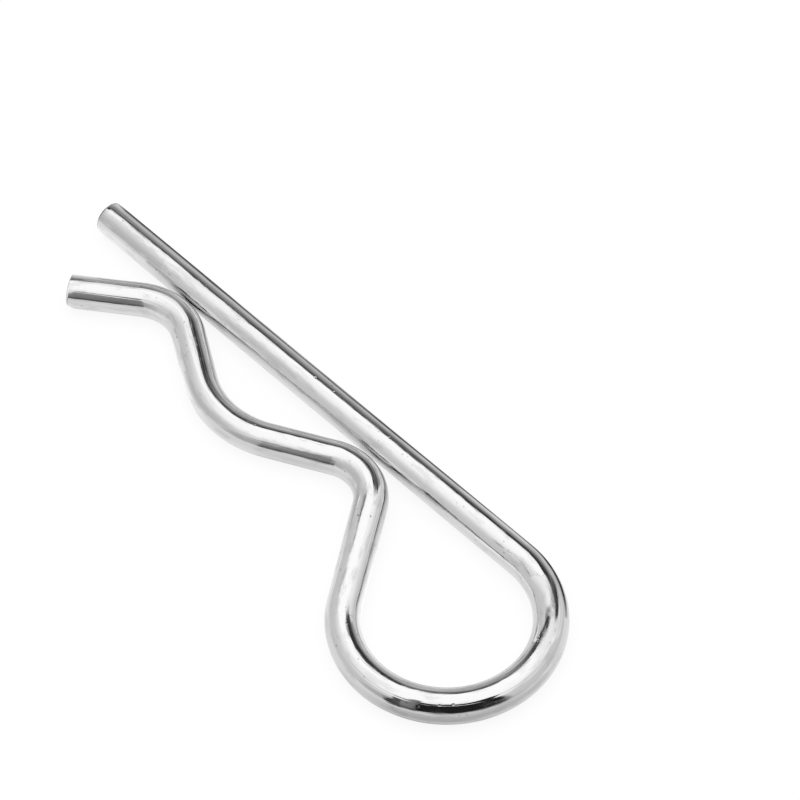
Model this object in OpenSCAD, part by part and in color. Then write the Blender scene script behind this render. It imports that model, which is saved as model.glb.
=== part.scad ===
// Hitch R clip pin: one length of round spring wire, bent in one plane.
// The straight leg goes through a cross-hole in a shaft. The bent leg springs over the
// outside of the shaft, which seats under the hump. All lengths are in millimetres.
// The clip lies flat: its underside is on Z = 0 and its straight leg points along +X.

/* [Wire] */
// Diameter of the spring wire
wire_d = 3.2; // [2:0.1:5]
// Radius that rounds the rim of each cropped end
rim_round = 0.3; // [0.1:0.05:0.8]

/* [Eye] */
// Clear diameter inside the round eye
eye_bore = 15; // [11:0.5:22]
// Angle past a half turn at which the wire leaves the eye
eye_overrun = 55.5; // [45:0.5:68]

/* [Throat beside the eye] */
// Inside radius of the bend at the throat
throat_bend = 3.2; // [2:0.1:5]
// Gap between that bend and the straight leg
throat_gap = 0.35; // [0.1:0.05:1.5]

/* [Hump] */
// Diameter of the round that fits under the hump with the straight leg through its centre
seat_d = 13.3; // [11:0.1:20]
// Inside radius of the bend over the seat
hump_bend = 7.9; // [5:0.1:12]
// Slope of the wire up from the throat to the hump
climb_angle = 28; // [22:0.5:45]
// Slope of the wire down from the hump to the mouth
fall_angle = 30.5; // [22:0.5:45]

/* [Mouth] */
// Inside radius of the bend where the bent leg comes closest to the straight leg
mouth_bend = 4; // [2:0.1:7]
// Gap between that bend and the straight leg, closed but for this clearance
mouth_gap = 0.1; // [0.05:0.05:1.5]
// Slope of the tail that flares out beyond the mouth
flare_angle = 37; // [20:0.5:60]
// Straight length of the tail beyond its bend
tail_length = 6.7; // [4:0.1:15]

/* [Straight leg] */
// Distance that the straight leg reaches past the centre of the tail's end
leg_lead = 4.4; // [1:0.1:15]

/* [Hidden] */
$fn = 96;

// The bends are this much thicker all round than the straights, whose ends are sunk this far
// into them, so that no two faces lie on each other where they join
swell = 0.02;
sink = 0.2;

wire_r = wire_d / 2;
bend_wire_r = wire_r + swell;
eye_r = eye_bore / 2 + bend_wire_r;
throat_r = throat_bend + bend_wire_r;
hump_r = hump_bend + bend_wire_r;
mouth_r = mouth_bend + bend_wire_r;

// Heights of the bent leg's centreline above the straight leg's at its three turns
throat_y = wire_r + throat_gap + bend_wire_r;
hump_y = seat_d / 2 + bend_wire_r;
mouth_y = wire_r + mouth_gap + bend_wire_r;

// How far a bend of radius r goes sideways, and along, as it turns from level to angle a
function side_step(r, a) = r * (1 - cos(a));
function advance(r, a) = r * sin(a);

// Straights between the bends, each as long as its two turns leave
shoulder_length = (eye_r * (1 + cos(eye_overrun)) - side_step(throat_r, eye_overrun) - throat_y)
    / sin(eye_overrun);
climb_length = (hump_y - throat_y - side_step(throat_r + hump_r, climb_angle)) / sin(climb_angle);
fall_length = (hump_y - mouth_y - side_step(hump_r + mouth_r, fall_angle)) / sin(fall_angle);

// Stations of the same turns along the straight leg, from the point where the eye begins
throat_x = advance(eye_r + throat_r, eye_overrun) + shoulder_length * cos(eye_overrun);
hump_x = throat_x + advance(throat_r + hump_r, climb_angle) + climb_length * cos(climb_angle);
mouth_x = hump_x + advance(hump_r + mouth_r, fall_angle) + fall_length * cos(fall_angle);
tail_x = mouth_x + advance(mouth_r, flare_angle) + tail_length * cos(flare_angle);
leg_length = tail_x + leg_lead;

// The bent leg as a wire bender makes it, from the eye to the tail: each bend's radius at the
// wire's centre, its turn, left turns being positive, and the straight that follows it
BENDS = [
    [eye_r, -180 - eye_overrun, shoulder_length],
    [throat_r, eye_overrun + climb_angle, climb_length],
    [hump_r, -climb_angle - fall_angle, fall_length],
    [mouth_r, fall_angle + flare_angle, tail_length]
];

// Straight wire along +X with both ends sunk into the bends that it joins
module straight(length) {
    translate([-sink, 0, 0])
        rotate([90, 0, 90])
            cylinder(d = wire_d, h = length + 2 * sink);
}

// Straight wire along +X with its near end sunk into a bend and its far end cropped square,
// the rim rounded
module cropped_straight(length) {
    translate([-sink, 0, 0])
        rotate([90, 0, 90])
            rotate_extrude()
                difference() {
                    square([wire_r, length + sink]);
                    translate([wire_r - rim_round, length + sink - rim_round])
                        difference() {
                            square(2 * rim_round);
                            circle(r = rim_round);
                        }
                }
}

// Bent wire that leaves the origin along +X and goes round by the given turn
module bend(radius, turn) {
    translate([0, sign(turn) * radius, 0])
        rotate_extrude(angle = abs(turn), start = turn > 0 ? -90 : 90 + turn)
            translate([radius, 0])
                circle(r = bend_wire_r);
}

// Moves its children to the far end of such a bend, heading the way the wire leaves it
module past_bend(radius, turn) {
    centre_y = sign(turn) * radius;
    translate([0, centre_y, 0])
        rotate([0, 0, turn])
            translate([0, -centre_y, 0])
                children();
}

// The wire from one bend on, to the end of the tail
module bent_wire(step = 0) {
    radius = BENDS[step][0];
    turn = BENDS[step][1];
    length = BENDS[step][2];
    bend(radius, turn);
    past_bend(radius, turn)
        if (step == len(BENDS) - 1) {
            cropped_straight(length);
        } else {
            straight(length);
            translate([length, 0, 0])
                bent_wire(step + 1);
        }
}

// The whole clip, centred on its length and its width, with its underside on Z = 0
module r_clip() {
    middle_x = (leg_length - eye_r - bend_wire_r) / 2;
    color([0.77, 0.78, 0.79])
        translate([-middle_x, -eye_r, bend_wire_r]) {
            cropped_straight(leg_length);
            rotate([0, 0, 180])
                bent_wire();
        }
}

r_clip();
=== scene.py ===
"""A hitch R clip pin: one drawn and plated wire, cropped at both ends and bent four times.

The wire is made straight, with its cropped ends and its tool marks, and is then bent in the
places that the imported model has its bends. The clip lies on a plain pale floor in a soft studio.
"""

import logging
import math
from dataclasses import dataclass
from enum import Enum

import bmesh
import bpy
from bmesh.types import BMEdge, BMFace, BMLayerItem, BMVert, BMesh
from bpy.types import Material, Node, NodeSocket, NodeTree, Object
from mathutils import Matrix, Vector, noise


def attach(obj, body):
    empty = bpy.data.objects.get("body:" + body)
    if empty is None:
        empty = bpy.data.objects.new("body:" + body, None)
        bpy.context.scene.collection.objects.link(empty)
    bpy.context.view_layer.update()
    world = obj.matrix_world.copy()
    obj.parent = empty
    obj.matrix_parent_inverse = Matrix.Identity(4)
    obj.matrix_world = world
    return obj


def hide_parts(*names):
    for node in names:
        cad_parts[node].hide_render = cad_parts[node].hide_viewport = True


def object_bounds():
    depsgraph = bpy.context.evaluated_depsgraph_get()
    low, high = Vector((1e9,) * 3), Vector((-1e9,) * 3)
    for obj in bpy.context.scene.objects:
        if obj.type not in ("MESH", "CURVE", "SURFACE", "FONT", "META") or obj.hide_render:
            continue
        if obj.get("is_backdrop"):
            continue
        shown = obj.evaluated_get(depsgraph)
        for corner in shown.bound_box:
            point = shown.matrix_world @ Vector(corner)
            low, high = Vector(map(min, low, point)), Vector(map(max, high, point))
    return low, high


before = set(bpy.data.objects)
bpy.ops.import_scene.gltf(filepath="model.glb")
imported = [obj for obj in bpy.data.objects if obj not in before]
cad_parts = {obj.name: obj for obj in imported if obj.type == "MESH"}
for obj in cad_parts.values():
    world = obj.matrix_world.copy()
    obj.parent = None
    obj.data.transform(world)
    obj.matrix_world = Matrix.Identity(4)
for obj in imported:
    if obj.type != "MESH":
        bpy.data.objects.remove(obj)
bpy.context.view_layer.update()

LOG = logging.getLogger("r_clip")
CAD_NODE = "r_clip"
CAD_BODY = "root"
DRAWN = "drawn"  # where each point of the surface lay on the straight wire, in metres
CARD_LEVEL = "level"  # how bright a card is at each of its points
CARD_COVER = "cover"  # how much of a card there is at each of its points
SAME_RING = 1e-8  # points this near to each other along the wire are of one ring, in metres


class Side(Enum):
    """The hand to which a bend turns, looking along the feed from above."""

    LEFT = 1.0
    RIGHT = -1.0


def mesh_object(name: str, bm: BMesh) -> Object:
    """Turns a bmesh into an object in the scene.

    Args:
        name: The object's name.
        bm: Its mesh, which is freed.

    Returns:
        The object, at the origin.
    """
    mesh = bpy.data.meshes.new(name)
    bm.to_mesh(mesh)
    bm.free()
    made = bpy.data.objects.new(name, mesh)
    bpy.context.scene.collection.objects.link(made)
    return made


# ---------------------------------------------------------------- the wire


@dataclass(frozen=True)
class Bend:
    """One bend of the wire, measured on its centre line.

    Attributes:
        name: What the bend forms.
        start: Length of wire fed before it begins, in metres.
        radius: Its radius, in metres.
        angle: How far it turns, in radians.
        side: The hand it turns to.
    """

    name: str
    start: float
    radius: float
    angle: float
    side: Side

    @property
    def length(self) -> float:
        """The length of wire in the bend."""
        return self.radius * self.angle

    @property
    def end(self) -> float:
        """The length of wire fed when it is done."""
        return self.start + self.length


@dataclass(frozen=True)
class CroppedEnd:
    """The shape that a shear leaves at one end of the wire.

    Attributes:
        rim_round: Rounding of the rim, in metres.
        nose_length: Length over which the wire draws in towards the cut.
        nose_depth: How far it has drawn in at the cut.
        roll_depth: How much further it has drawn in where the blade went in.
        roll_to: Where round the wire the blade went in, in radians from the left hand.
        lean: Slope of the cut across the wire, as a tangent.
        lean_to: Where round the wire the cut reaches furthest, in radians from the left hand.
        lean_length: Length of wire that leans with the cut.
        break_depth: Unevenness of the torn half of the cut.
        break_grain: Grains to a metre in the torn half, the coarse ones and the fine ones.
        break_edge: How sharply the torn half ends.
        over: How far the cut reaches past its nominal place.
    """

    rim_round: float = 0.00026
    nose_length: float = 0.0006
    nose_depth: float = 0.00003
    roll_depth: float = 0.00008
    roll_to: float = math.radians(-140.0)
    lean: float = 0.05
    lean_to: float = 0.0
    lean_length: float = 0.0012
    break_depth: float = 0.00002
    break_grain: tuple[float, float] = (2600.0, 6100.0)
    break_edge: float = 4.0
    over: float = 0.00018

    @staticmethod
    def towards(angle: float) -> Vector:
        """The direction across the straight wire at an angle from its left hand, which is -Y."""
        return Vector((0.0, -math.cos(angle), math.sin(angle)))


@dataclass(frozen=True)
class ToolMark:
    """A shallow dent that a forming tool leaves.

    Attributes:
        name: Where it is, in a few words.
        station: Length of wire from the straight leg's end, in metres.
        around: Angle round the wire from its left hand, in radians.
        length: Half its length along the wire, in metres.
        width: Half its width round the wire, in metres.
        depth: Its depth, in metres.
        reach: How far it is worked out along the wire, in half lengths.
    """

    name: str
    station: float
    around: float
    length: float
    width: float
    depth: float
    reach: float = 3.0


@dataclass
class WireBlank:
    """The straight wire before it is bent: it runs from `tip_x` towards -X, along y = 0.

    Attributes:
        radius: Radius of the wire, in metres.
        length: Length of the wire, in metres.
        tip_x: Where the straight leg's end is.
        first: How the straight leg's end is cropped.
        last: How the tail's end is cropped.
        fine: Stretches that get close rings, each as its start, its end and their distance.
        marks: Dents along the wire.
        facets: Faces round the wire.
        rim_rings: Rings of faces on each rounded rim.
        cap_rings: Rings of faces on each cut.
    """

    radius: float
    length: float
    tip_x: float
    first: CroppedEnd
    last: CroppedEnd
    fine: tuple[tuple[float, float, float], ...]
    marks: tuple[ToolMark, ...] = ()
    facets: int = 88
    rim_rings: int = 5
    cap_rings: int = 5

    def build(self) -> BMesh:
        """Makes the straight wire with its ends and dents.

        Returns:
            The wire's mesh. Its cuts have material index 1.
        """
        bm = bmesh.new()
        self._draw(bm)
        self._crop(bm, self.first, self.tip_x, 1.0)
        self._crop(bm, self.last, self.tip_x - self.length, -1.0)
        for mark in self.marks:
            self._dent(bm, mark)
        bmesh.ops.recalc_face_normals(bm, faces=bm.faces[:])
        return bm

    def _draw(self, bm: BMesh) -> None:
        """Draws a ring of the wire's section out to its full length and closes both ends.

        Args:
            bm: The mesh that it is made in.
        """
        to_x = Matrix.Rotation(math.pi / 2, 4, "Y")
        place = Matrix.Translation((self.tip_x, 0.0, 0.0)) @ to_x
        bmesh.ops.create_circle(bm, segments=self.facets, radius=self.radius, matrix=place)
        rim = bm.edges[:]
        fed = 0.0
        for start, end, pitch in self.fine:
            if start > fed:
                rim = self._pull(bm, rim, start - fed, 1)
            rim = self._pull(bm, rim, end - start, max(1, round((end - start) / pitch)))
            fed = end
        bmesh.ops.holes_fill(bm, edges=[e for e in bm.edges if e.is_boundary], sides=self.facets)

    @staticmethod
    def _pull(bm: BMesh, rim: list[BMEdge], length: float, rings: int) -> list[BMEdge]:
        """Draws the open rim on by one stretch.

        Args:
            bm: The wire so far.
            rim: The edges of its open end.
            length: Length of the stretch.
            rings: Rings of faces along it.

        Returns:
            The edges of the new open end.
        """
        made = bmesh.ops.extrude_edge_only(bm, edges=rim)["geom"]
        verts = [g for g in made if isinstance(g, BMVert)]
        bmesh.ops.translate(bm, verts=verts, vec=(-length, 0.0, 0.0))
        far = set(verts)
        new_rim = [g for g in made if isinstance(g, BMEdge) and set(g.verts) <= far]
        if rings > 1:
            along = {e for v in verts for e in v.link_edges} - set(new_rim)
            bmesh.ops.subdivide_edges(bm, edges=list(along), cuts=rings - 1, use_grid_fill=False)
        return new_rim

    def _crop(self, bm: BMesh, end: CroppedEnd, x: float, out: float) -> None:
        """Shapes one end as its shear left it.

        Args:
            bm: The straight wire.
            end: The shape of that end.
            x: Where the end is.
            out: 1 if the cut faces +X, or -1.
        """
        bmesh.ops.bevel(
            bm,
            geom=list(self._cap(bm, out).edges),
            offset=end.rim_round,
            offset_type="OFFSET",
            segments=self.rim_rings,
            profile=0.5,
            affect="EDGES",
            clamp_overlap=False,
            material=-1,
        )
        cap = self._cap(bm, out)
        cap.material_index = 1
        flat = self.radius - end.rim_round
        for _ in range(self.cap_rings):
            bmesh.ops.inset_region(
                bm, faces=[cap], thickness=flat / (self.cap_rings + 1), use_even_offset=True
            )
        reach = max(end.lean_length, end.nose_length)
        near = [v for v in bm.verts if (x - v.co.x) * out < reach]
        self._draw_in(near, end, x, out)
        self._lean(near, end, x, out)

    def _cap(self, bm: BMesh, out: float) -> BMFace:
        """Finds the flat face that closes one end.

        Args:
            bm: The straight wire.
            out: 1 for the end that faces +X, or -1.

        Returns:
            The face.
        """
        caps = (f for f in bm.faces if len(f.verts) == self.facets)
        return max(caps, key=lambda f: f.calc_center_median().x * out)

    def _draw_in(self, verts: list[BMVert], end: CroppedEnd, x: float, out: float) -> None:
        """Narrows the wire a little towards a cut and roughens the torn half of the cut.

        Args:
            verts: The points near that end.
            end: The shape of the end.
            x: Where the end is.
            out: 1 if the cut faces +X, or -1.
        """
        flat = self.radius - end.rim_round
        on_cut = end.rim_round / 10
        torn_side, rolled_side = end.towards(end.lean_to), end.towards(end.roll_to)
        coarse, fine = end.break_grain
        for v in verts:
            back = (x - v.co.x) * out
            across = Vector((0.0, v.co.y, v.co.z))
            if back < end.nose_length:
                share = (1.0 - back / end.nose_length) ** 2
                rolled = max(0.0, across.dot(rolled_side) / self.radius) ** 2
                v.co -= across * (share * end.nose_depth / self.radius)
                v.co -= rolled_side * (share * rolled * end.roll_depth)
            if back < on_cut and across.length < flat:
                side = across.dot(torn_side) / self.radius
                torn = 0.5 + 0.5 * math.tanh(end.break_edge * side)
                grain = noise.noise(v.co * coarse) + 0.5 * noise.noise(v.co * fine)
                v.co.x -= out * end.break_depth * torn * (1.0 + grain)

    def _lean(self, verts: list[BMVert], end: CroppedEnd, x: float, out: float) -> None:
        """Slopes the cut across the wire.

        Args:
            verts: The points near that end.
            end: The shape of the end.
            x: Where the end is.
            out: 1 if the cut faces +X, or -1.
        """
        side = end.towards(end.lean_to)
        for v in verts:
            back = (x - v.co.x) * out
            share = max(0.0, 1.0 - back / end.lean_length)
            v.co.x += out * share * (end.lean * (v.co.dot(side) - self.radius) + end.over)

    def _dent(self, bm: BMesh, mark: ToolMark) -> None:
        """Presses one tool mark into the surface.

        Args:
            bm: The straight wire.
            mark: The dent.
        """
        centre = self.tip_x - mark.station
        for v in bm.verts:
            along = (v.co.x - centre) / mark.length
            if abs(along) > mark.reach:
                continue
            # the left hand of a wire that is fed towards -X is -Y
            here = math.atan2(v.co.z, -v.co.y)
            turn = math.remainder(here - mark.around, math.tau)
            across = turn * self.radius / mark.width
            fall = math.exp(-0.5 * (along * along + across * across))
            v.co -= Vector((0.0, v.co.y, v.co.z)) * (mark.depth / self.radius * fall)


@dataclass
class RClip:
    """The clip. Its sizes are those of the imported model, in metres and radians.

    Attributes:
        wire_d: Diameter of the wire.
        swell: How much further out the surface of a bend lies than that of a straight.
        eye_bore: Diameter inside the eye.
        eye_overrun: How far the eye turns past a half turn.
        throat_bend: Radius inside the throat's bend.
        throat_gap: Gap between the throat and the straight leg.
        seat_d: Diameter of the shaft that fits under the hump.
        hump_bend: Radius inside the hump's bend.
        climb_angle: Slope of the wire from the throat up to the hump.
        fall_angle: Slope of the wire from the hump down to the mouth.
        mouth_bend: Radius inside the mouth's bend.
        mouth_gap: Gap between the mouth and the straight leg.
        flare_angle: Slope of the tail away from the straight leg.
        tail_length: Length of the tail.
        leg_lead: How much further the straight leg reaches than the tail.
        name: The piece's name.
        end_zone: Length of close rings at each end.
        fine_pitch: Their distance.
        ring_angle: Turn of a bend from ring to ring.
        leg_end: How the straight leg's end is cropped.
        tail_end: How the tail's end is cropped.
        marks: The dents that the formers leave.
    """

    wire_d: float = 0.0032
    swell: float = 0.00002
    eye_bore: float = 0.0150
    eye_overrun: float = math.radians(55.5)
    throat_bend: float = 0.0032
    throat_gap: float = 0.00035
    seat_d: float = 0.0133
    hump_bend: float = 0.0079
    climb_angle: float = math.radians(28.0)
    fall_angle: float = math.radians(30.5)
    mouth_bend: float = 0.0040
    mouth_gap: float = 0.0001
    flare_angle: float = math.radians(37.0)
    tail_length: float = 0.0067
    leg_lead: float = 0.0044
    name: str = "clip_wire"
    end_zone: float = 0.0018
    fine_pitch: float = 0.0001
    ring_angle: float = math.radians(1.25)
    leg_end: CroppedEnd = CroppedEnd(
        rim_round=0.0002, nose_depth=0.00004, lean_to=math.radians(40.0)
    )
    tail_end: CroppedEnd = CroppedEnd(
        rim_round=0.0001,
        nose_length=0.0007,
        roll_depth=0.00024,
        roll_to=math.radians(-48.0),
        lean_to=math.radians(-35.0),
        over=0.00022,
    )
    marks: tuple[ToolMark, ...] = (
        ToolMark("eye_pin_lift", 0.06293, math.radians(91), 0.00022, 0.00016, 0.00002),
        ToolMark("eye_start", 0.09128, math.radians(93), 0.00020, 0.00014, 0.00001),
        ToolMark("throat_former", 0.10974, math.radians(15), 0.00018, 0.00050, 0.00002),
        ToolMark("throat_crown", 0.10895, math.radians(62), 0.00018, 0.00020, 0.00001),
        ToolMark("mouth_former", 0.13179, math.radians(45), 0.00014, 0.00060, 0.00002),
        ToolMark("mouth_crown", 0.13153, math.radians(103), 0.00014, 0.00018, 0.00001),
        ToolMark("fall_crown", 0.12734, math.radians(103), 0.00014, 0.00016, 0.00001),
    )

    @property
    def radius(self) -> float:
        """The wire's radius."""
        return self.wire_d / 2

    @property
    def bend_radius(self) -> float:
        """The wire's radius in a bend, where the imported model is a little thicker."""
        return self.radius + self.swell

    @property
    def eye_r(self) -> float:
        """The eye's radius at the centre line."""
        return self.eye_bore / 2 + self.bend_radius

    @property
    def throat_r(self) -> float:
        """The throat's radius at the centre line."""
        return self.throat_bend + self.bend_radius

    @property
    def hump_r(self) -> float:
        """The hump's radius at the centre line."""
        return self.hump_bend + self.bend_radius

    @property
    def mouth_r(self) -> float:
        """The mouth's radius at the centre line."""
        return self.mouth_bend + self.bend_radius

    @property
    def levels(self) -> tuple[float, float, float]:
        """How far throat, hump and mouth lie from the straight leg, between centre lines."""
        throat = self.radius + self.throat_gap + self.bend_radius
        hump = self.seat_d / 2 + self.bend_radius
        mouth = self.radius + self.mouth_gap + self.bend_radius
        return throat, hump, mouth

    @property
    def straights(self) -> tuple[float, float, float]:
        """The straight lengths from eye to throat, throat to hump and hump to mouth."""
        throat, hump, mouth = self.levels
        top = self.eye_r * (1 + math.cos(self.eye_overrun))
        down = top - throat - self._step(self.throat_r, self.eye_overrun)
        up = hump - throat - self._step(self.throat_r + self.hump_r, self.climb_angle)
        back = hump - mouth - self._step(self.hump_r + self.mouth_r, self.fall_angle)
        return (
            down / math.sin(self.eye_overrun),
            up / math.sin(self.climb_angle),
            back / math.sin(self.fall_angle),
        )

    @property
    def leg_length(self) -> float:
        """The straight leg, from the eye's centre line to its end."""
        shoulder, climb, fall = self.straights
        run = self.eye_r * math.sin(self.eye_overrun)
        run += shoulder * math.cos(self.eye_overrun) + self.throat_r * math.sin(self.eye_overrun)
        run += (self.throat_r + self.hump_r) * math.sin(self.climb_angle)
        run += climb * math.cos(self.climb_angle) + fall * math.cos(self.fall_angle)
        run += (self.hump_r + self.mouth_r) * math.sin(self.fall_angle)
        run += self.mouth_r * math.sin(self.flare_angle)
        run += self.tail_length * math.cos(self.flare_angle)
        return run + self.leg_lead

    @staticmethod
    def _step(radius: float, angle: float) -> float:
        """How far to the side a bend carries the wire."""
        return radius * (1 - math.cos(angle))

    def bends(self) -> tuple[Bend, ...]:
        """Lists the bends in the order in which the wire is fed.

        Returns:
            The eye, the throat, the hump and the mouth.
        """
        shoulder, climb, fall = self.straights
        plan = (
            ("eye", self.leg_length, self.eye_r, math.pi + self.eye_overrun, Side.RIGHT),
            ("throat", shoulder, self.throat_r, self.eye_overrun + self.climb_angle, Side.LEFT),
            ("hump", climb, self.hump_r, self.climb_angle + self.fall_angle, Side.RIGHT),
            ("mouth", fall, self.mouth_r, self.fall_angle + self.flare_angle, Side.LEFT),
        )
        made: list[Bend] = []
        fed = 0.0
        for name, straight, radius, angle, side in plan:
            made.append(Bend(name, fed + straight, radius, angle, side))
            fed = made[-1].end
        return tuple(made)

    def build(self) -> Object:
        """Makes the wire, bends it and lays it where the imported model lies.

        Returns:
            The clip, at the origin, with its place in its mesh.
        """
        bends = self.bends()
        length = bends[-1].end + self.tail_length
        leg_zone = (0.0, self.end_zone, self.fine_pitch)
        tail_zone = (length - self.end_zone, length, self.fine_pitch)
        bend_zones = ((b.start, b.end, b.radius * self.ring_angle) for b in bends)
        blank = WireBlank(
            radius=self.radius,
            length=length,
            tip_x=self.leg_length,
            first=self.leg_end,
            last=self.tail_end,
            fine=(leg_zone, *bend_zones, tail_zone),
            marks=self.marks,
        )
        bm = blank.build()
        layer = bm.verts.layers.float_vector.new(DRAWN)
        for v in bm.verts:
            v[layer] = v.co
        for bend in reversed(bends):
            self._form(bm, bend, layer)
        centre_x = (self.leg_length - self.eye_r - self.bend_radius) / 2
        shift = Vector((-centre_x, -self.eye_r, self.bend_radius))
        bmesh.ops.translate(bm, verts=bm.verts[:], vec=shift)
        bm.normal_update()
        clip = mesh_object(self.name, bm)
        clip.data.shade_smooth()
        faces = len(clip.data.polygons)
        LOG.info("%s: %.1f mm of wire, %d faces", self.name, length * 1000, faces)
        return clip

    def _form(self, bm: BMesh, bend: Bend, layer: BMLayerItem) -> None:
        """Makes one bend. Everything before it is still straight.

        Args:
            bm: The wire, with the bends after this one already made.
            bend: The bend.
            layer: Where each point lay on the straight wire.
        """
        centre = Vector((self.leg_length - bend.start, -bend.side.value * bend.radius, 0.0))
        rings: dict[int, list[BMVert]] = {}
        beyond: list[BMVert] = []
        for v in bm.verts:
            fed = self.leg_length - v[layer].x - bend.start
            if fed > bend.length:
                beyond.append(v)
            elif fed > 0:
                rings.setdefault(round(fed / SAME_RING), []).append(v)
        for key, ring in rings.items():
            self._turn(bm, ring, key * SAME_RING, bend, centre)
        self._turn(bm, beyond, bend.length, bend, centre)

    @staticmethod
    def _turn(bm: BMesh, verts: list[BMVert], fed: float, bend: Bend, centre: Vector) -> None:
        """Wraps points that lie a length of wire into a bend round its centre.

        Args:
            bm: The wire.
            verts: The points, which lie straight beyond the bend's start.
            fed: The length of wire from the bend's start.
            bend: The bend.
            centre: The bend's centre.
        """
        turn = Matrix.Rotation(bend.side.value * fed / bend.radius, 4, "Z")
        back = Matrix.Translation(Vector((fed, 0.0, 0.0)) - centre)
        bmesh.ops.transform(bm, verts=verts, matrix=Matrix.Translation(centre) @ turn @ back)

    def dress(self, clip: Object) -> None:
        """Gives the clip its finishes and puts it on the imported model.

        Args:
            clip: The clip's object.
        """
        clip.data.materials.append(PlatedWire().material(self.leg_length))
        clip.data.materials.append(CroppedFace().material())
        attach(clip, CAD_BODY)
        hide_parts(CAD_NODE)


# ---------------------------------------------------------------- finishes


class NodeBench:
    """Lays the nodes of one material or world."""

    def __init__(self, tree: NodeTree) -> None:
        """Starts from an empty tree."""
        self.tree = tree
        tree.nodes.clear()

    def feed(self, socket: NodeSocket, value: object) -> None:
        """Joins a socket to another one, or sets it to a constant.

        Args:
            socket: The socket that is fed.
            value: The socket that it is joined to, or its constant.
        """
        if isinstance(value, NodeSocket):
            self.tree.links.new(value, socket)
        else:
            socket.default_value = value

    def node(
        self, kind: str, inputs: dict[int | str, object] | None = None, **settings: object
    ) -> Node:
        """Adds a node.

        Args:
            kind: Its type, such as ShaderNodeMath.
            inputs: What feeds its sockets, by name or number: a socket or a constant each.
            **settings: Its settings.

        Returns:
            The node.
        """
        made = self.tree.nodes.new(kind)
        for key, value in settings.items():
            setattr(made, key, value)
        for socket, value in (inputs or {}).items():
            self.feed(made.inputs[socket], value)
        return made

    def math(self, operation: str, first: object, second: object = 0.0) -> NodeSocket:
        """Works out one sum.

        Args:
            operation: The Math node's operation.
            first: A socket or a number.
            second: A socket or a number.

        Returns:
            The result's socket.
        """
        return self.node("ShaderNodeMath", {0: first, 1: second}, operation=operation).outputs[0]

    def total(self, *parts: tuple[NodeSocket, float]) -> NodeSocket:
        """Adds up several values.

        Args:
            *parts: Each value's socket and what it is multiplied by.

        Returns:
            The total's socket.
        """
        weighed = [self.math("MULTIPLY", value, weight) for value, weight in parts]
        added = weighed[0]
        for part in weighed[1:]:
            added = self.math("ADD", added, part)
        return added

    def fit(
        self, value: NodeSocket, source: tuple[float, float], to: tuple[float, float]
    ) -> NodeSocket:
        """Maps a value from one range to another, smoothly and without passing its ends.

        Args:
            value: The value's socket.
            source: The range it comes in.
            to: The range it goes out in.

        Returns:
            The result's socket.
        """
        inputs = {0: value, 1: source[0], 2: source[1], 3: to[0], 4: to[1]}
        made = self.node("ShaderNodeMapRange", inputs, interpolation_type="SMOOTHSTEP")
        return made.outputs[0]

    def mix(self, share: NodeSocket, first: object, second: object) -> NodeSocket:
        """Blends two values.

        Args:
            share: Share of the second one.
            first: A socket or a number.
            second: A socket or a number.

        Returns:
            The result's socket.
        """
        inputs = {0: share, 2: first, 3: second}
        return self.node("ShaderNodeMix", inputs, data_type="FLOAT").outputs[0]

    def ramp(self, value: NodeSocket, stops: tuple[tuple[float, float], ...]) -> NodeSocket:
        """Grades a value through several levels.

        Args:
            value: The value's socket, from 0 to 1.
            stops: Places on it and the level at each, both from 0 to 1.

        Returns:
            The level's socket.
        """
        made = self.node("ShaderNodeValToRGB", {0: value})
        made.color_ramp.interpolation = "LINEAR"
        elements = made.color_ramp.elements
        while len(elements) < len(stops):
            elements.new(1.0)
        for element, (place, level) in zip(elements, stops):
            element.position = place
            element.color = (level, level, level, 1.0)
        return made.outputs[0]

    def blend(self, share: object, first: Node, second: Node) -> Node:
        """Blends two shaders.

        Args:
            share: Share of the second one: a socket or a number.
            first: A shader.
            second: A shader.

        Returns:
            The blended shader.
        """
        inputs = {0: share, 1: first.outputs[0], 2: second.outputs[0]}
        return self.node("ShaderNodeMixShader", inputs)

    def attribute(self, name: str) -> Node:
        """Reads one of the mesh's own attributes."""
        return self.node("ShaderNodeAttribute", attribute_name=name)

    def bump(self, height: NodeSocket) -> NodeSocket:
        """Turns a height in metres into the surface's normal."""
        inputs = {"Strength": 1.0, "Distance": 1.0, "Height": height}
        return self.node("ShaderNodeBump", inputs).outputs["Normal"]

    def finish(self, shader: Node) -> None:
        """Gives the material's surface a shader."""
        self.node("ShaderNodeOutputMaterial", {"Surface": shader.outputs[0]})


def new_material(name: str) -> tuple[Material, NodeBench]:
    """Makes an empty node material.

    Args:
        name: Its name.

    Returns:
        The material and its bench.
    """
    made = bpy.data.materials.new(name)
    made.use_nodes = True
    return made, NodeBench(made.node_tree)


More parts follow.
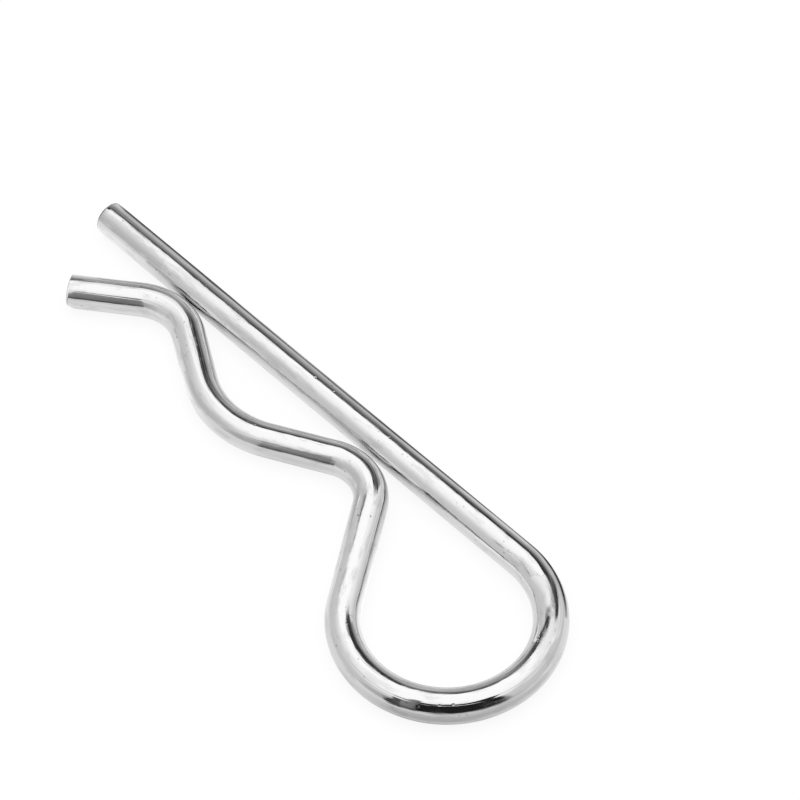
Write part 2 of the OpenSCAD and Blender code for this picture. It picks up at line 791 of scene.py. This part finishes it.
@dataclass(frozen=True)
class Grain:
    """A noise that is drawn out along the wire.

    Attributes:
        along: Size of its patches along the wire, in metres.
        across: Size of its patches across the wire, in metres.
        detail: Octaves of the noise.
        roughness: Strength of the finer octaves.
        cut: The two values between which it goes from counting for nothing to counting in full.
    """

    along: float
    across: float
    detail: float = 2.0
    roughness: float = 0.5
    cut: tuple[float, float] = (0.0, 1.0)

    def lay(self, bench: NodeBench, place: NodeSocket) -> NodeSocket:
        """Lays the noise's nodes.

        Args:
            bench: The material's bench.
            place: Coordinates on the straight wire, in metres.

        Returns:
            The noise's value, about 0.5.
        """
        inputs = {"Scale": (1 / self.along, 1 / self.across, 1 / self.across), "Vector": place}
        drawn_out = bench.node("ShaderNodeMapping", inputs).outputs[0]
        inputs = {"Scale": 1.0, "Detail": self.detail, "Roughness": self.roughness}
        made = bench.node("ShaderNodeTexNoise", {**inputs, "Vector": drawn_out})
        return made.outputs["Fac"]

    def share(
        self, bench: NodeBench, place: NodeSocket, to: tuple[float, float] = (0.0, 1.0)
    ) -> NodeSocket:
        """Lays the noise's nodes and cuts its value.

        Args:
            bench: The material's bench.
            place: Coordinates on the straight wire, in metres.
            to: What it gives where it counts for nothing and where it counts in full.

        Returns:
            The result's socket.
        """
        return bench.fit(self.lay(bench, place), self.cut, to)


@dataclass(frozen=True)
class PlatedWire:
    """Bright plating over drawn wire: fine lines along it, a mottle, patches of painted shade and
    pits.

    Attributes:
        name: The material's name.
        bright: Reflectance of clean plating.
        dull: Reflectance where the plating is stained or pitted, and in the patches of painted
            shade.
        polish: Roughness of clean plating.
        worn: Roughness where it is stained and in the patches of painted shade.
        lines: The fine lines that drawing leaves.
        line_height: Their height, in metres.
        line_wear: How much they roughen the plating, where a full stain is 1.
        scores: Sparser and longer lines, as deep as the fine ones are high.
        wave: The slow unevenness that makes reflections wander.
        wave_height: Its height.
        ripple: The short, narrow unevenness on top of it.
        ripple_height: Its height.
        mottle: The stains.
        mottle_strength: Their strength, where a full stain is 1.
        pit_cells: Cells of one pit each to a metre, along the wire and across it twice.
        pit_edge: How far from a pit's middle it is still whole and how far off it ends, in cells.
        pit_groups: The loose groups that the pits lie in.
        pit_depth: Their depth, in metres.
        shade_patches: Patches of painted shade, darker and rougher plating set where the
            reflections should run grey:
            station and angle of the middle, half the length and half the width in radians, and
            strength.
        shade_patch_edge: How far from its middle a patch of painted shade is still whole and how
            far off it ends, as the square of the share of its half length or width.
        patch_edge_noise: What makes the edges of the patches of painted shade uneven.
        patch_edge_reach: How far it moves them, in the same squares.
    """

    name: str = "plated_wire"
    bright: tuple[float, float, float, float] = (0.70, 0.70, 0.70, 1.0)
    dull: tuple[float, float, float, float] = (0.50, 0.50, 0.50, 1.0)
    polish: float = 0.07
    worn: float = 0.30
    lines: Grain = Grain(along=0.012, across=0.00018, detail=3.0, roughness=0.6, cut=(0.5, 0.8))
    line_height: float = 0.0000066
    line_wear: float = 0.4
    scores: Grain = Grain(along=0.030, across=0.00035, detail=1.0, cut=(0.60, 0.72))
    wave: Grain = Grain(along=0.006, across=0.0022, detail=1.0)
    wave_height: float = 0.000015
    ripple: Grain = Grain(along=0.0028, across=0.0007, detail=2.0)
    ripple_height: float = 0.000022
    mottle: Grain = Grain(along=0.0026, across=0.0007, detail=3.0, roughness=0.6, cut=(0.50, 0.66))
    mottle_strength: float = 0.45
    pit_cells: tuple[float, float, float] = (1100.0, 1600.0, 1600.0)
    pit_edge: tuple[float, float] = (0.08, 0.20)
    pit_groups: Grain = Grain(along=0.004, across=0.0016, detail=1.0, cut=(0.48, 0.58))
    pit_depth: float = 0.000007
    # painted shade: darker, rougher patches where the reflections should run grey, among them a
    # dark streak on the eye
    shade_patches: tuple[tuple[float, float, float, float, float], ...] = (
        (0.0035, math.radians(124), 0.0075, math.radians(25), 0.65),
        (0.0230, math.radians(124), 0.0080, math.radians(14), 0.45),
        (0.0640, math.radians(84), 0.0045, math.radians(22), 0.50),
        (0.0720, math.radians(22), 0.0060, math.radians(18), 0.45),
        (0.1240, math.radians(42), 0.0060, math.radians(14), 0.50),
        (0.1080, math.radians(50), 0.0050, math.radians(16), 0.45),
    )
    shade_patch_edge: tuple[float, float] = (0.3, 1.1)
    patch_edge_noise: Grain = Grain(along=0.0016, across=0.0005, detail=3.0, roughness=0.6, cut=(0.3, 0.7))
    patch_edge_reach: float = 0.5

    def material(self, tip_x: float) -> Material:
        """Makes the material.

        Args:
            tip_x: Where the straight leg's end is on the straight wire.

        Returns:
            The material.
        """
        made, bench = new_material(self.name)
        place = bench.attribute(DRAWN).outputs["Vector"]
        lines = self.lines.lay(bench, place)
        scores = self.scores.share(bench, place)
        wave = self.wave.lay(bench, place)
        ripple = self.ripple.lay(bench, place)
        mottle = self.mottle.share(bench, place, (0.0, self.mottle_strength))
        # the mottle's stains and the patches of painted shade together
        stain_and_shade = bench.math("MAXIMUM", mottle, self._painted_shade(bench, place, tip_x))
        pits = self._pits(bench, place)
        marked = bench.math("MAXIMUM", stain_and_shade, pits)
        inputs = {"Factor": marked, "A": self.bright, "B": self.dull}
        colour = bench.node("ShaderNodeMix", inputs, data_type="RGBA").outputs["Result"]
        line_wear = bench.fit(lines, self.lines.cut, (0.0, self.line_wear))
        rough_share = bench.math("ADD", stain_and_shade, line_wear)
        height = bench.total(
            (lines, self.line_height),
            (scores, -self.line_height),
            (wave, self.wave_height),
            (ripple, self.ripple_height),
            (pits, -self.pit_depth),
        )
        inputs = {
            "Metallic": 1.0,
            "Base Color": colour,
            "Roughness": bench.fit(rough_share, (0.0, 1.0), (self.polish, self.worn)),
            "Normal": bench.bump(height),
        }
        bench.finish(bench.node("ShaderNodeBsdfPrincipled", inputs))
        return made

    def _painted_shade(self, bench: NodeBench, place: NodeSocket, tip_x: float) -> NodeSocket:
        """Masks the patches of painted shade, with uneven edges.

        Args:
            bench: The material's bench.
            place: Coordinates on the straight wire, in metres.
            tip_x: Where the straight leg's end is.

        Returns:
            How strong the painted shade is, from 0 to 1.
        """
        parts = bench.node("ShaderNodeSeparateXYZ", {0: place})
        left = bench.math("MULTIPLY", parts.outputs["Y"], -1.0)
        around = bench.math("ARCTAN2", parts.outputs["Z"], left)
        patch_edge_noise = self.patch_edge_noise.share(bench, place, (-self.patch_edge_reach, self.patch_edge_reach))
        shaded: object = 0.0
        # each patch of painted shade, strongest at its middle
        for station, angle, length, width, strength in self.shade_patches:
            along = bench.math("SUBTRACT", parts.outputs["X"], tip_x - station)
            along = bench.math("POWER", bench.math("DIVIDE", along, length), 2.0)
            across = bench.math("SUBTRACT", around, angle)
            across = bench.math("POWER", bench.math("DIVIDE", across, width), 2.0)
            away = bench.math("ADD", bench.math("ADD", along, across), patch_edge_noise)
            here = bench.fit(away, self.shade_patch_edge, (strength, 0.0))
            shaded = bench.math("MAXIMUM", shaded, here)
        return shaded

    def _pits(self, bench: NodeBench, place: NodeSocket) -> NodeSocket:
        """Scatters small pits, most of them in loose groups.

        Args:
            bench: The material's bench.
            place: Coordinates on the straight wire, in metres.

        Returns:
            1 in a pit and 0 elsewhere.
        """
        inputs = {"Scale": self.pit_cells, "Vector": place}
        scaled = bench.node("ShaderNodeMapping", inputs).outputs[0]
        inputs = {"Scale": 1.0, "Randomness": 1.0, "Vector": scaled}
        apart = bench.node("ShaderNodeTexVoronoi", inputs).outputs["Distance"]
        spot = bench.fit(apart, self.pit_edge, (1.0, 0.0))
        return bench.math("MULTIPLY", spot, self.pit_groups.share(bench, place))


@dataclass(frozen=True)
class CroppedFace:
    """The sheared end of the wire: plated thinly over a torn, grainy face.

    Attributes:
        name: The material's name.
        colour: Its reflectance.
        smooth: Roughness of its smoothest places.
        torn: Roughness of its roughest places.
        grain: The grain of the torn metal.
        grain_height: Its height, in metres.
    """

    name: str = "cropped_face"
    colour: tuple[float, float, float, float] = (0.50, 0.50, 0.50, 1.0)
    smooth: float = 0.28
    torn: float = 0.52
    grain: Grain = Grain(along=0.00018, across=0.00018, detail=3.0, roughness=0.6, cut=(0.3, 0.7))
    grain_height: float = 0.00001

    def material(self) -> Material:
        """Makes the material.

        Returns:
            The material.
        """
        made, bench = new_material(self.name)
        grain = self.grain.lay(bench, bench.attribute(DRAWN).outputs["Vector"])
        inputs = {
            "Metallic": 1.0,
            "Base Color": self.colour,
            "Roughness": bench.fit(grain, self.grain.cut, (self.smooth, self.torn)),
            "Normal": bench.bump(bench.math("MULTIPLY", grain, self.grain_height)),
        }
        bench.finish(bench.node("ShaderNodeBsdfPrincipled", inputs))
        return made


@dataclass(frozen=True)
class PaleFloor:
    """White paper under the clip. It stays pale to the camera and in the metal and keeps shadows.

    Attributes:
        name: The material's name.
        colour: Colour of the paper.
        sheen: Share of its reflection that is satin rather than matt, as the metal sees it.
        satin: Roughness of that share.
        glow: Share of its paleness that doesn't depend on the lamps, as the camera sees it.
        glow_mirrored: The same share, as the metal sees it.
        level: Level of that share to the camera, where white is 1.
        level_mirrored: Level of that share in the metal.
        near: Distance from the middle up to which it is white, in metres.
        far: Distance at which it has faded to the backdrop's grey.
        pools: Soft pools of light and shade that the metal sees on it: x, y, radius and how much
            lighter each is in its middle.
    """

    name: str = "pale_floor"
    colour: tuple[float, float, float, float] = (0.88, 0.88, 0.88, 1.0)
    sheen: float = 0.8
    satin: float = 0.35
    glow: float = 0.88
    glow_mirrored: float = 0.7
    level: float = 1.0
    level_mirrored: float = 0.98
    near: float = 0.35
    far: float = 1.6
    pools: tuple[tuple[float, float, float, float], ...] = (
        (-0.0275, 0.0090, 0.013, -0.42),
        (-0.0370, 0.0000, 0.010, -0.25),
        (-0.0150, 0.0030, 0.009, 0.50),
        (-0.0060, 0.0060, 0.007, 0.20),
        (0.0150, 0.0010, 0.007, 0.45),
        (0.0220, 0.0050, 0.007, 0.20),
        (0.0330, -0.0050, 0.009, 0.28),
        (0.0000, -0.0020, 0.006, -0.18),
    )

    def material(self, backdrop: float) -> Material:
        """Makes the material.

        Args:
            backdrop: The level of the backdrop at the horizon.

        Returns:
            The material.
        """
        made, bench = new_material(self.name)
        rays = bench.node("ShaderNodeLightPath").outputs
        mirrored = bench.math("MAXIMUM", rays["Is Glossy Ray"], rays["Is Transmission Ray"])
        seen = bench.math("MAXIMUM", rays["Is Camera Ray"], mirrored)
        place = bench.node("ShaderNodeTexCoord").outputs["Object"]
        away = bench.node("ShaderNodeVectorMath", {0: place}, operation="LENGTH").outputs["Value"]
        fade = bench.fit(away, (self.near, self.far), (0.0, 1.0))
        level = bench.mix(mirrored, self.level, self._pooled(bench, place))
        glow = bench.mix(mirrored, self.glow, self.glow_mirrored)
        share = bench.math("MULTIPLY", seen, bench.mix(fade, glow, 1.0))
        inputs = {"Color": self.colour, "Roughness": self.satin}
        paper = bench.blend(
            bench.math("MULTIPLY", mirrored, self.sheen),
            bench.node("ShaderNodeBsdfDiffuse", {"Color": self.colour}),
            bench.node("ShaderNodeBsdfAnisotropic", inputs),
        )
        light = bench.node("ShaderNodeEmission", {"Strength": bench.mix(fade, level, backdrop)})
        bench.finish(bench.blend(share, paper, light))
        return made

    def _pooled(self, bench: NodeBench, place: NodeSocket) -> NodeSocket:
        """Adds the soft pools to the level that the metal sees.

        Args:
            bench: The material's bench.
            place: Coordinates on the floor, in metres.

        Returns:
            The level's socket.
        """
        inputs = {0: place, 1: (1.0, 1.0, 0.0)}
        flat = bench.node("ShaderNodeVectorMath", inputs, operation="MULTIPLY").outputs[0]
        pooled: object = self.level_mirrored
        for x, y, radius, gain in self.pools:
            inputs = {0: flat, 1: (x, y, 0.0)}
            apart = bench.node("ShaderNodeVectorMath", inputs, operation="DISTANCE")
            pool = bench.fit(apart.outputs["Value"], (0.0, radius), (gain, 0.0))
            pooled = bench.math("ADD", pooled, pool)
        return pooled


# ---------------------------------------------------------------- studio


@dataclass(frozen=True)
class Viewpoint:
    """Where the camera stands.

    Attributes:
        target: The point it looks at, in metres.
        azimuth: Bearing of the camera, from -Y towards +X, in radians.
        elevation: Its height above the horizon, in radians.
        roll: Its turn about its own line of sight, in radians.
        distance: Its distance from the target, in metres.
        lens: Its focal length for its sensor, in millimetres.
        sensor: Width of its sensor, in millimetres.
        clip: The nearest and the furthest distance that it sees, in metres.
    """

    target: tuple[float, float, float] = (-0.00112, -0.01463, 0.00002)
    azimuth: float = math.radians(-132.89)
    elevation: float = math.radians(52.06)
    roll: float = math.radians(-0.987)
    distance: float = 0.3444
    lens: float = 168.7
    sensor: float = 36.0
    clip: tuple[float, float] = (0.01, 20.0)

    @property
    def back(self) -> Vector:
        """The direction from the target to the camera."""
        flat = math.cos(self.elevation)
        across = (math.sin(self.azimuth) * flat, -math.cos(self.azimuth) * flat)
        return Vector((*across, math.sin(self.elevation)))

    def build(self) -> Object:
        """Makes the camera and makes it the scene's.

        Returns:
            The camera.
        """
        data = bpy.data.cameras.new("camera")
        data.lens = self.lens
        data.sensor_width = self.sensor
        data.clip_start, data.clip_end = self.clip
        camera = bpy.data.objects.new("camera", data)
        bpy.context.scene.collection.objects.link(camera)
        aim = (-self.back).to_track_quat("-Z", "Y").to_matrix().to_4x4()
        place = Matrix.Translation(Vector(self.target) + self.back * self.distance)
        camera.matrix_world = place @ aim @ Matrix.Rotation(self.roll, 4, "Z")
        bpy.context.scene.camera = camera
        return camera


def smooth(share: float) -> float:
    """Eases a share from 0 to 1, without passing its ends."""
    share = min(1.0, max(0.0, share))
    return share * share * (3.0 - 2.0 * share)


def blank_card(columns: int, rows: int) -> tuple[BMesh, BMLayerItem, BMLayerItem]:
    """Makes a flat grid, one unit across each way, for a card to be shaped from.

    Args:
        columns: Faces across it.
        rows: Faces up it.

    Returns:
        The grid, and the layers of its points' levels and covers.
    """
    bm = bmesh.new()
    bmesh.ops.create_grid(bm, x_segments=columns, y_segments=rows, size=0.5)
    level, cover = (bm.verts.layers.float.new(name) for name in (CARD_LEVEL, CARD_COVER))
    return bm, level, cover


@dataclass(frozen=True)
class Flag:
    """A card with feathered edges: something brighter or darker than the backdrop to reflect.

    Bearings are clockwise from the far side, and all angles are in degrees.

    Attributes:
        name: Its name.
        top: Its upper edge from one side to the other: bearing, elevation, level there, where
            white is 1, and the elevation from which it has that level.
        low: Elevation of its lower edge.
        foot: Its level at the lower edge.
        feather: Width over which its sides and its upper edge fade out.
        foot_feather: Height over which its lower edge fades out.
        distance: Its distance from the middle, in metres.
        middle: The point it is curved round, in metres.
        columns: Faces across it.
        rows: Faces up it.
    """

    name: str
    top: tuple[tuple[float, float, float, float], ...]
    low: float
    foot: float
    feather: float = 4.0
    foot_feather: float = 4.0
    distance: float = 0.24
    middle: tuple[float, float, float] = (0.0, 0.0, 0.0)
    columns: int = 60
    rows: int = 36

    def build(self, away: Vector) -> Object:
        """Makes the card, curved round its middle.

        Args:
            away: The level direction from the camera past the clip.

        Returns:
            The card.
        """
        first, last = self.top[0][0], self.top[-1][0]
        bm, level, cover = blank_card(self.columns, self.rows)
        for v in bm.verts:
            bearing = first + (v.co.x + 0.5) * (last - first)
            top, head, rise = self._edge(bearing)
            height = self.low + (v.co.y + 0.5) * (top - self.low)
            v[cover] = (
                smooth(min(bearing - first, last - bearing) / self.feather)
                * smooth((top - height) / self.feather)
                * smooth((height - self.low) / self.foot_feather)
            )
            share = smooth((height - self.low) / (rise - self.low))
            v[level] = self.foot + share * (head - self.foot)
            out = Matrix.Rotation(-math.radians(bearing), 3, "Z") @ away
            lift = math.radians(height)
            reach = out * math.cos(lift) + Vector((0.0, 0.0, math.sin(lift)))
            v.co = Vector(self.middle) + self.distance * reach
        return as_card(self.name, bm)

    def _edge(self, bearing: float) -> tuple[float, float, float]:
        """Reads the upper edge at one bearing.

        Args:
            bearing: The bearing.

        Returns:
            Its elevation, its level, and the elevation from which it has that level.
        """
        for (b0, *start), (b1, *end) in zip(self.top, self.top[1:]):
            if bearing <= b1:
                share = (bearing - b0) / (b1 - b0)
                return tuple(s + (e - s) * share for s, e in zip(start, end))
        return self.top[-1][1:]


@dataclass(frozen=True)
class Strip:
    """A narrow upright card close to the wire, for one stretch of it to reflect.

    Attributes:
        name: Its name.
        run: Points along it: x, y, the heights of its lower and upper edges, in metres, and
            its level there, where white is 1. It fades out between the last two at either end.
        feather: Height over which both edges fade out, in metres. A lower edge on the floor
            doesn't fade.
    """

    name: str
    run: tuple[tuple[float, float, float, float, float], ...]
    feather: float = 0.0012

    def build(self, ground: float) -> Object:
        """Makes the strip.

        Args:
            ground: The floor's height.

        Returns:
            The strip.
        """
        last = len(self.run) - 1
        bands = 3  # the lower fade, the full height and the upper fade
        bm, level, cover = blank_card(last, bands)
        for v in bm.verts:
            place = round((v.co.x + 0.5) * last)
            row = round((v.co.y + 0.5) * bands)
            x, y, low, high, shade = self.run[place]
            lift = (max(0.0, low - self.feather), low, high - self.feather, high)[row]
            faded = place in (0, last) or row == bands or (row == 0 and low > 0.0)
            v[level] = shade
            v[cover] = 0.0 if faded else 1.0
            v.co = (x, y, ground + lift)
        return as_card(self.name, bm)


def as_card(name: str, bm: BMesh) -> Object:
    """Turns a bmesh with level and cover on its points into a card that only metal sees.

    Args:
        name: The card's name.
        bm: Its mesh, which is freed.

    Returns:
        The card.
    """
    made, bench = new_material(name)
    level, cover = (bench.attribute(key).outputs["Fac"] for key in (CARD_LEVEL, CARD_COVER))
    clear = bench.node("ShaderNodeBsdfTransparent")
    bench.finish(bench.blend(cover, clear, bench.node("ShaderNodeEmission", {"Strength": level})))
    card = mesh_object(name, bm)
    card.visible_camera = card.visible_diffuse = card.visible_shadow = False
    card.data.materials.append(made)
    return card


FLAGS: tuple[Flag, ...] = (
    # stands beyond the clip, all round its far side: the dark line along every far flank
    Flag(
        name="far_flag",
        top=(
            (-33, 38, 0.10, 34), (-28, 45, 0.03, 34), (-24, 48.5, 0.03, 36),
            (-20, 48.5, 0.03, 40), (-10, 45.5, 0.07, 48), (-7, 46.5, 0.07, 49),
            (-2, 51.3, 0.04, 50), (3, 51.3, 0.02, 53), (9, 49.0, 0.00, 54), (15, 48.3, 0.00, 53),
            (19, 46, 0.00, 45), (22, 45.5, 0.01, 40), (26, 51, 0.03, 38), (32, 52, 0.04, 38),
            (37, 50, 0.04, 39), (50, 40, 0.05, 40),
        ),
        low=0,
        foot=0.735,
        foot_feather=1,
        distance=0.25,
    ),
    # lights the crown of the wire, above the far flag
    Flag(
        name="far_glow",
        top=((-34, 80, 1.38, 56), (62, 80, 1.38, 56)),
        low=42,
        foot=1.24,
        distance=0.4,
    ),
    # lights the flanks that face right
    Flag(
        name="right_glow",
        top=((46, 54, 1.25, 50), (78, 54, 1.25, 50)),
        low=12,
        foot=0.84,
        distance=0.35,
    ),
    # stands before the clip: the black patch on the near side of the eye
    Flag(
        name="near_flag",
        top=((131.5, 59.5, 0.015, 20), (203, 61.5, 0.015, 20)),
        low=1.5,
        foot=0.015,
        foot_feather=8,
    ),
    # stands on the left: the grey patches on the bent leg
    Flag(
        name="side_flag",
        top=((198, 72, 0.22, 24), (208, 68, 0.25, 24), (213, 60, 0.29, 24), (219, 53, 0.34, 24)),
        low=-2,
        foot=0.05,
        foot_feather=5,
        distance=0.25,
    ),
    # stands close to the tail: the dark line along its near side
    Flag(
        name="end_flag",
        top=(
            (219, 47, 0.04, 10), (223, 44, 0.04, 10), (226, 35, 0.04, 10), (228.5, 29, 0.04, 10),
            (231.5, 25, 0.05, 10),
        ),
        low=-2,
        foot=0.05,
        feather=3,
        foot_feather=4,
        distance=0.06,
        middle=(-0.0254, 0.0086, 0.0025),
    ),
    # lets the grey patches fade out at their ends
    Flag(
        name="fading_flag",
        top=(
            (212, 44, 0.42, 20), (220, 38, 0.48, 20), (230, 32, 0.57, 18), (240, 28, 0.64, 16),
            (250, 24, 0.70, 14),
        ),
        low=0,
        foot=0.56,
        feather=6,
        foot_feather=5,
        distance=0.27,
    ),
    # is one thin post on the left: a fine dark line on the flanks that face it
    Flag(
        name="post_flag",
        top=((196.8, 40, 0.08, 20), (204.7, 40, 0.08, 20)),
        low=1,
        foot=0.08,
        feather=2,
        distance=0.0734,
    ),
    # hangs over the eye: the dark line round its right side
    Flag(
        name="bore_flag",
        top=(
            (-34, 42, 0.03, 40), (-31, 46, 0.03, 42), (-24, 51, 0.03, 42), (-17, 53.5, 0.03, 42),
            (-10, 55, 0.05, 44), (-4, 54.5, 0.10, 46), (4, 54, 0.25, 46),
        ),
        low=35,
        foot=0.03,
        feather=4,
        foot_feather=3,
        distance=0.0125,
        middle=(-0.0302, -0.0046, 0.003),
    ),
)

STRIPS: tuple[Strip, ...] = (
    # stands low beyond the straight leg, where a second clip would lie
    Strip(
        name="leg_strip",
        feather=0.0008,
        run=(
            (0.0345, -0.0113, 0.0000, 0.0032, 0.07), (0.0325, -0.0113, 0.0000, 0.0032, 0.07),
            (0.0270, -0.0113, 0.0000, 0.0032, 0.08), (0.0240, -0.0117, 0.0000, 0.0032, 0.10),
            (0.0208, -0.0127, 0.0000, 0.0032, 0.11), (0.0168, -0.0127, 0.0016, 0.0032, 0.12),
            (0.0087, -0.0127, 0.0018, 0.0032, 0.13), (-0.0034, -0.0127, 0.0014, 0.0032, 0.10),
            (-0.0075, -0.0120, 0.0013, 0.0030, 0.12), (-0.0115, -0.0117, 0.0004, 0.0029, 0.12),
            (-0.0155, -0.0117, 0.0000, 0.0026, 0.12), (-0.0196, -0.0117, 0.0000, 0.0024, 0.12),
            (-0.0230, -0.0123, 0.0000, 0.0025, 0.07), (-0.0243, -0.0125, 0.0004, 0.0028, 0.05),
            (-0.0256, -0.0123, 0.0008, 0.0028, 0.03), (-0.0282, -0.0113, 0.0013, 0.0029, 0.03),
            (-0.0294, -0.0106, 0.0015, 0.0028, 0.20), (-0.0304, -0.0099, 0.0015, 0.0028, 0.45),
            (-0.0307, -0.0096, 0.0015, 0.0028, 0.60),
        ),
    ),
    # darkens the crook where the straight leg runs into the eye
    Strip(
        name="crook_strip",
        run=(
            (-0.0300, -0.0097, 0.0064, 0.0074, 0.04), (-0.0296, -0.0101, 0.0062, 0.0084, 0.04),
            (-0.0282, -0.0113, 0.0052, 0.0098, 0.04), (-0.0275, -0.0120, 0.0049, 0.0108, 0.04),
            (-0.0268, -0.0127, 0.0048, 0.0113, 0.07), (-0.0260, -0.0133, 0.0049, 0.0113, 0.12),
            (-0.0253, -0.0140, 0.0051, 0.0108, 0.17), (-0.0246, -0.0147, 0.0054, 0.0098, 0.22),
        ),
    ),
    # darkens the nook beside the throat
    Strip(
        name="nook_strip",
        run=(
            (-0.0138, 0.0013, 0.0130, 0.0136, 0.04), (-0.0142, 0.0009, 0.0126, 0.0141, 0.04),
            (-0.0149, 0.0002, 0.0117, 0.0158, 0.04), (-0.0153, -0.0003, 0.0109, 0.0164, 0.04),
            (-0.0162, -0.0012, 0.0101, 0.0170, 0.04), (-0.0166, -0.0018, 0.0103, 0.0169, 0.04),
            (-0.0170, -0.0022, 0.0108, 0.0164, 0.04), (-0.0175, -0.0026, 0.0115, 0.0156, 0.04),
        ),
    ),
    # keeps the bore bright beside the crook
    Strip(
        name="bore_veil",
        run=(
            (-0.0285, -0.0116, 0.0085, 0.0098, 0.50), (-0.0280, -0.0111, 0.0082, 0.0098, 0.50),
            (-0.0267, -0.0097, 0.0063, 0.0097, 0.65), (-0.0265, -0.0094, 0.0056, 0.0095, 0.75),
            (-0.0259, -0.0088, 0.0044, 0.0092, 1.20), (-0.0257, -0.0085, 0.0038, 0.0091, 1.20),
            (-0.0253, -0.0081, 0.0036, 0.0090, 1.20), (-0.0236, -0.0063, 0.0044, 0.0083, 0.82),
            (-0.0231, -0.0058, 0.0045, 0.0079, 0.80), (-0.0228, -0.0054, 0.0045, 0.0076, 0.80),
        ),
    ),
    # keeps the leg bright by the mouth
    Strip(
        name="mouth_veil",
        run=(
            (0.0330, -0.0027, 0.0088, 0.0128, 1.18), (0.0327, -0.0030, 0.0088, 0.0130, 1.18),
            (0.0293, -0.0067, 0.0092, 0.0140, 1.18), (0.0272, -0.0089, 0.0099, 0.0150, 1.18),
            (0.0259, -0.0104, 0.0091, 0.0150, 1.18), (0.0252, -0.0111, 0.0093, 0.0152, 1.18),
            (0.0245, -0.0118, 0.0097, 0.0165, 1.18), (0.0240, -0.0123, 0.0109, 0.0190, 1.18),
            (0.0237, -0.0127, 0.0130, 0.0220, 1.18), (0.0233, -0.0132, 0.0152, 0.0240, 1.18),
            (0.0224, -0.0141, 0.0190, 0.0255, 1.18), (0.0220, -0.0145, 0.0205, 0.0255, 1.18),
        ),
    ),
)


@dataclass
class Studio:
    """The floor, the soft light and the cards.

    Attributes:
        floor_radius: Radius of the floor, in metres.
        floor_sides: Sides of the floor's outline.
        backdrop: Level of the backdrop by the sine of the elevation, where white is 1.
        softbox_size: Side of the overhead light, in metres.
        softbox_height: Its height above the floor.
        softbox_level: Its level.
        flags: The cards round the clip.
        strips: The narrow cards close to the wire.
    """

    floor_radius: float = 4.0
    floor_sides: int = 128
    backdrop: tuple[tuple[float, float], ...] = (
        (0.00, 0.74),
        (0.42, 0.76),
        (0.57, 0.82),
        (0.71, 0.97),
        (0.82, 1.18),
        (0.89, 1.32),
        (1.00, 1.38),
    )
    softbox_size: float = 0.9
    softbox_height: float = 0.9
    softbox_level: float = 1.0
    flags: tuple[Flag, ...] = FLAGS
    strips: tuple[Strip, ...] = STRIPS

    def build(self, view: Viewpoint) -> None:
        """Makes the floor, the world, the light and the cards.

        Args:
            view: The camera's place, from which the cards' bearings are taken.
        """
        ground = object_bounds()[0].z
        away = Vector((-view.back.x, -view.back.y, 0.0)).normalized()
        self._floor(ground)
        self._world()
        self._softbox()
        cards = [flag.build(away) for flag in self.flags]
        cards += [strip.build(ground) for strip in self.strips]
        for card in cards:
            card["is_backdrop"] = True
            LOG.info("%s: set up", card.name)

    def _floor(self, ground: float) -> None:
        """Lays the floor.

        Args:
            ground: Its height, which is that of the clip's lowest point.
        """
        bm = bmesh.new()
        place = Matrix.Translation((0.0, 0.0, ground))
        bmesh.ops.create_circle(
            bm, cap_ends=True, segments=self.floor_sides, radius=self.floor_radius, matrix=place
        )
        floor = mesh_object("floor", bm)
        horizon = self.backdrop[0][1]
        floor.data.materials.append(PaleFloor().material(horizon))
        floor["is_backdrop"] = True
        LOG.info("floor: laid")

    def _world(self) -> None:
        """Lights the studio evenly, with more light from above."""
        world = bpy.data.worlds.new("studio")
        world.use_nodes = True
        bench = NodeBench(world.node_tree)
        towards = bench.node("ShaderNodeTexCoord").outputs["Generated"]
        height = bench.node("ShaderNodeSeparateXYZ", {0: towards}).outputs["Z"]
        crown = self.backdrop[-1][1]
        stops = tuple((sine, level / crown) for sine, level in self.backdrop)
        level = bench.math("MULTIPLY", bench.ramp(height, stops), crown)
        inputs = {"Color": (1.0, 1.0, 1.0, 1.0), "Strength": level}
        back = bench.node("ShaderNodeBackground", inputs)
        bench.node("ShaderNodeOutputWorld", {"Surface": back.outputs[0]})
        bpy.context.scene.world = world

    def _softbox(self) -> None:
        """Hangs the soft light over the clip."""
        data = bpy.data.lights.new("softbox", "AREA")
        data.shape = "SQUARE"
        data.size = self.softbox_size
        data.energy = self.softbox_level * math.pi * self.softbox_size**2
        softbox = bpy.data.objects.new("softbox", data)
        softbox.location = (0.0, 0.0, self.softbox_height)
        softbox.visible_camera = softbox.visible_glossy = False
        bpy.context.scene.collection.objects.link(softbox)


def main() -> None:
    """Builds the clip, the studio and the camera."""
    logging.basicConfig(level=logging.INFO, format="%(name)s %(message)s")
    bpy.context.scene.view_settings.view_transform = "Standard"
    clip = RClip()
    clip.dress(clip.build())
    view = Viewpoint()
    view.build()
    Studio().build(view)


if __name__ == "__main__":
    main()
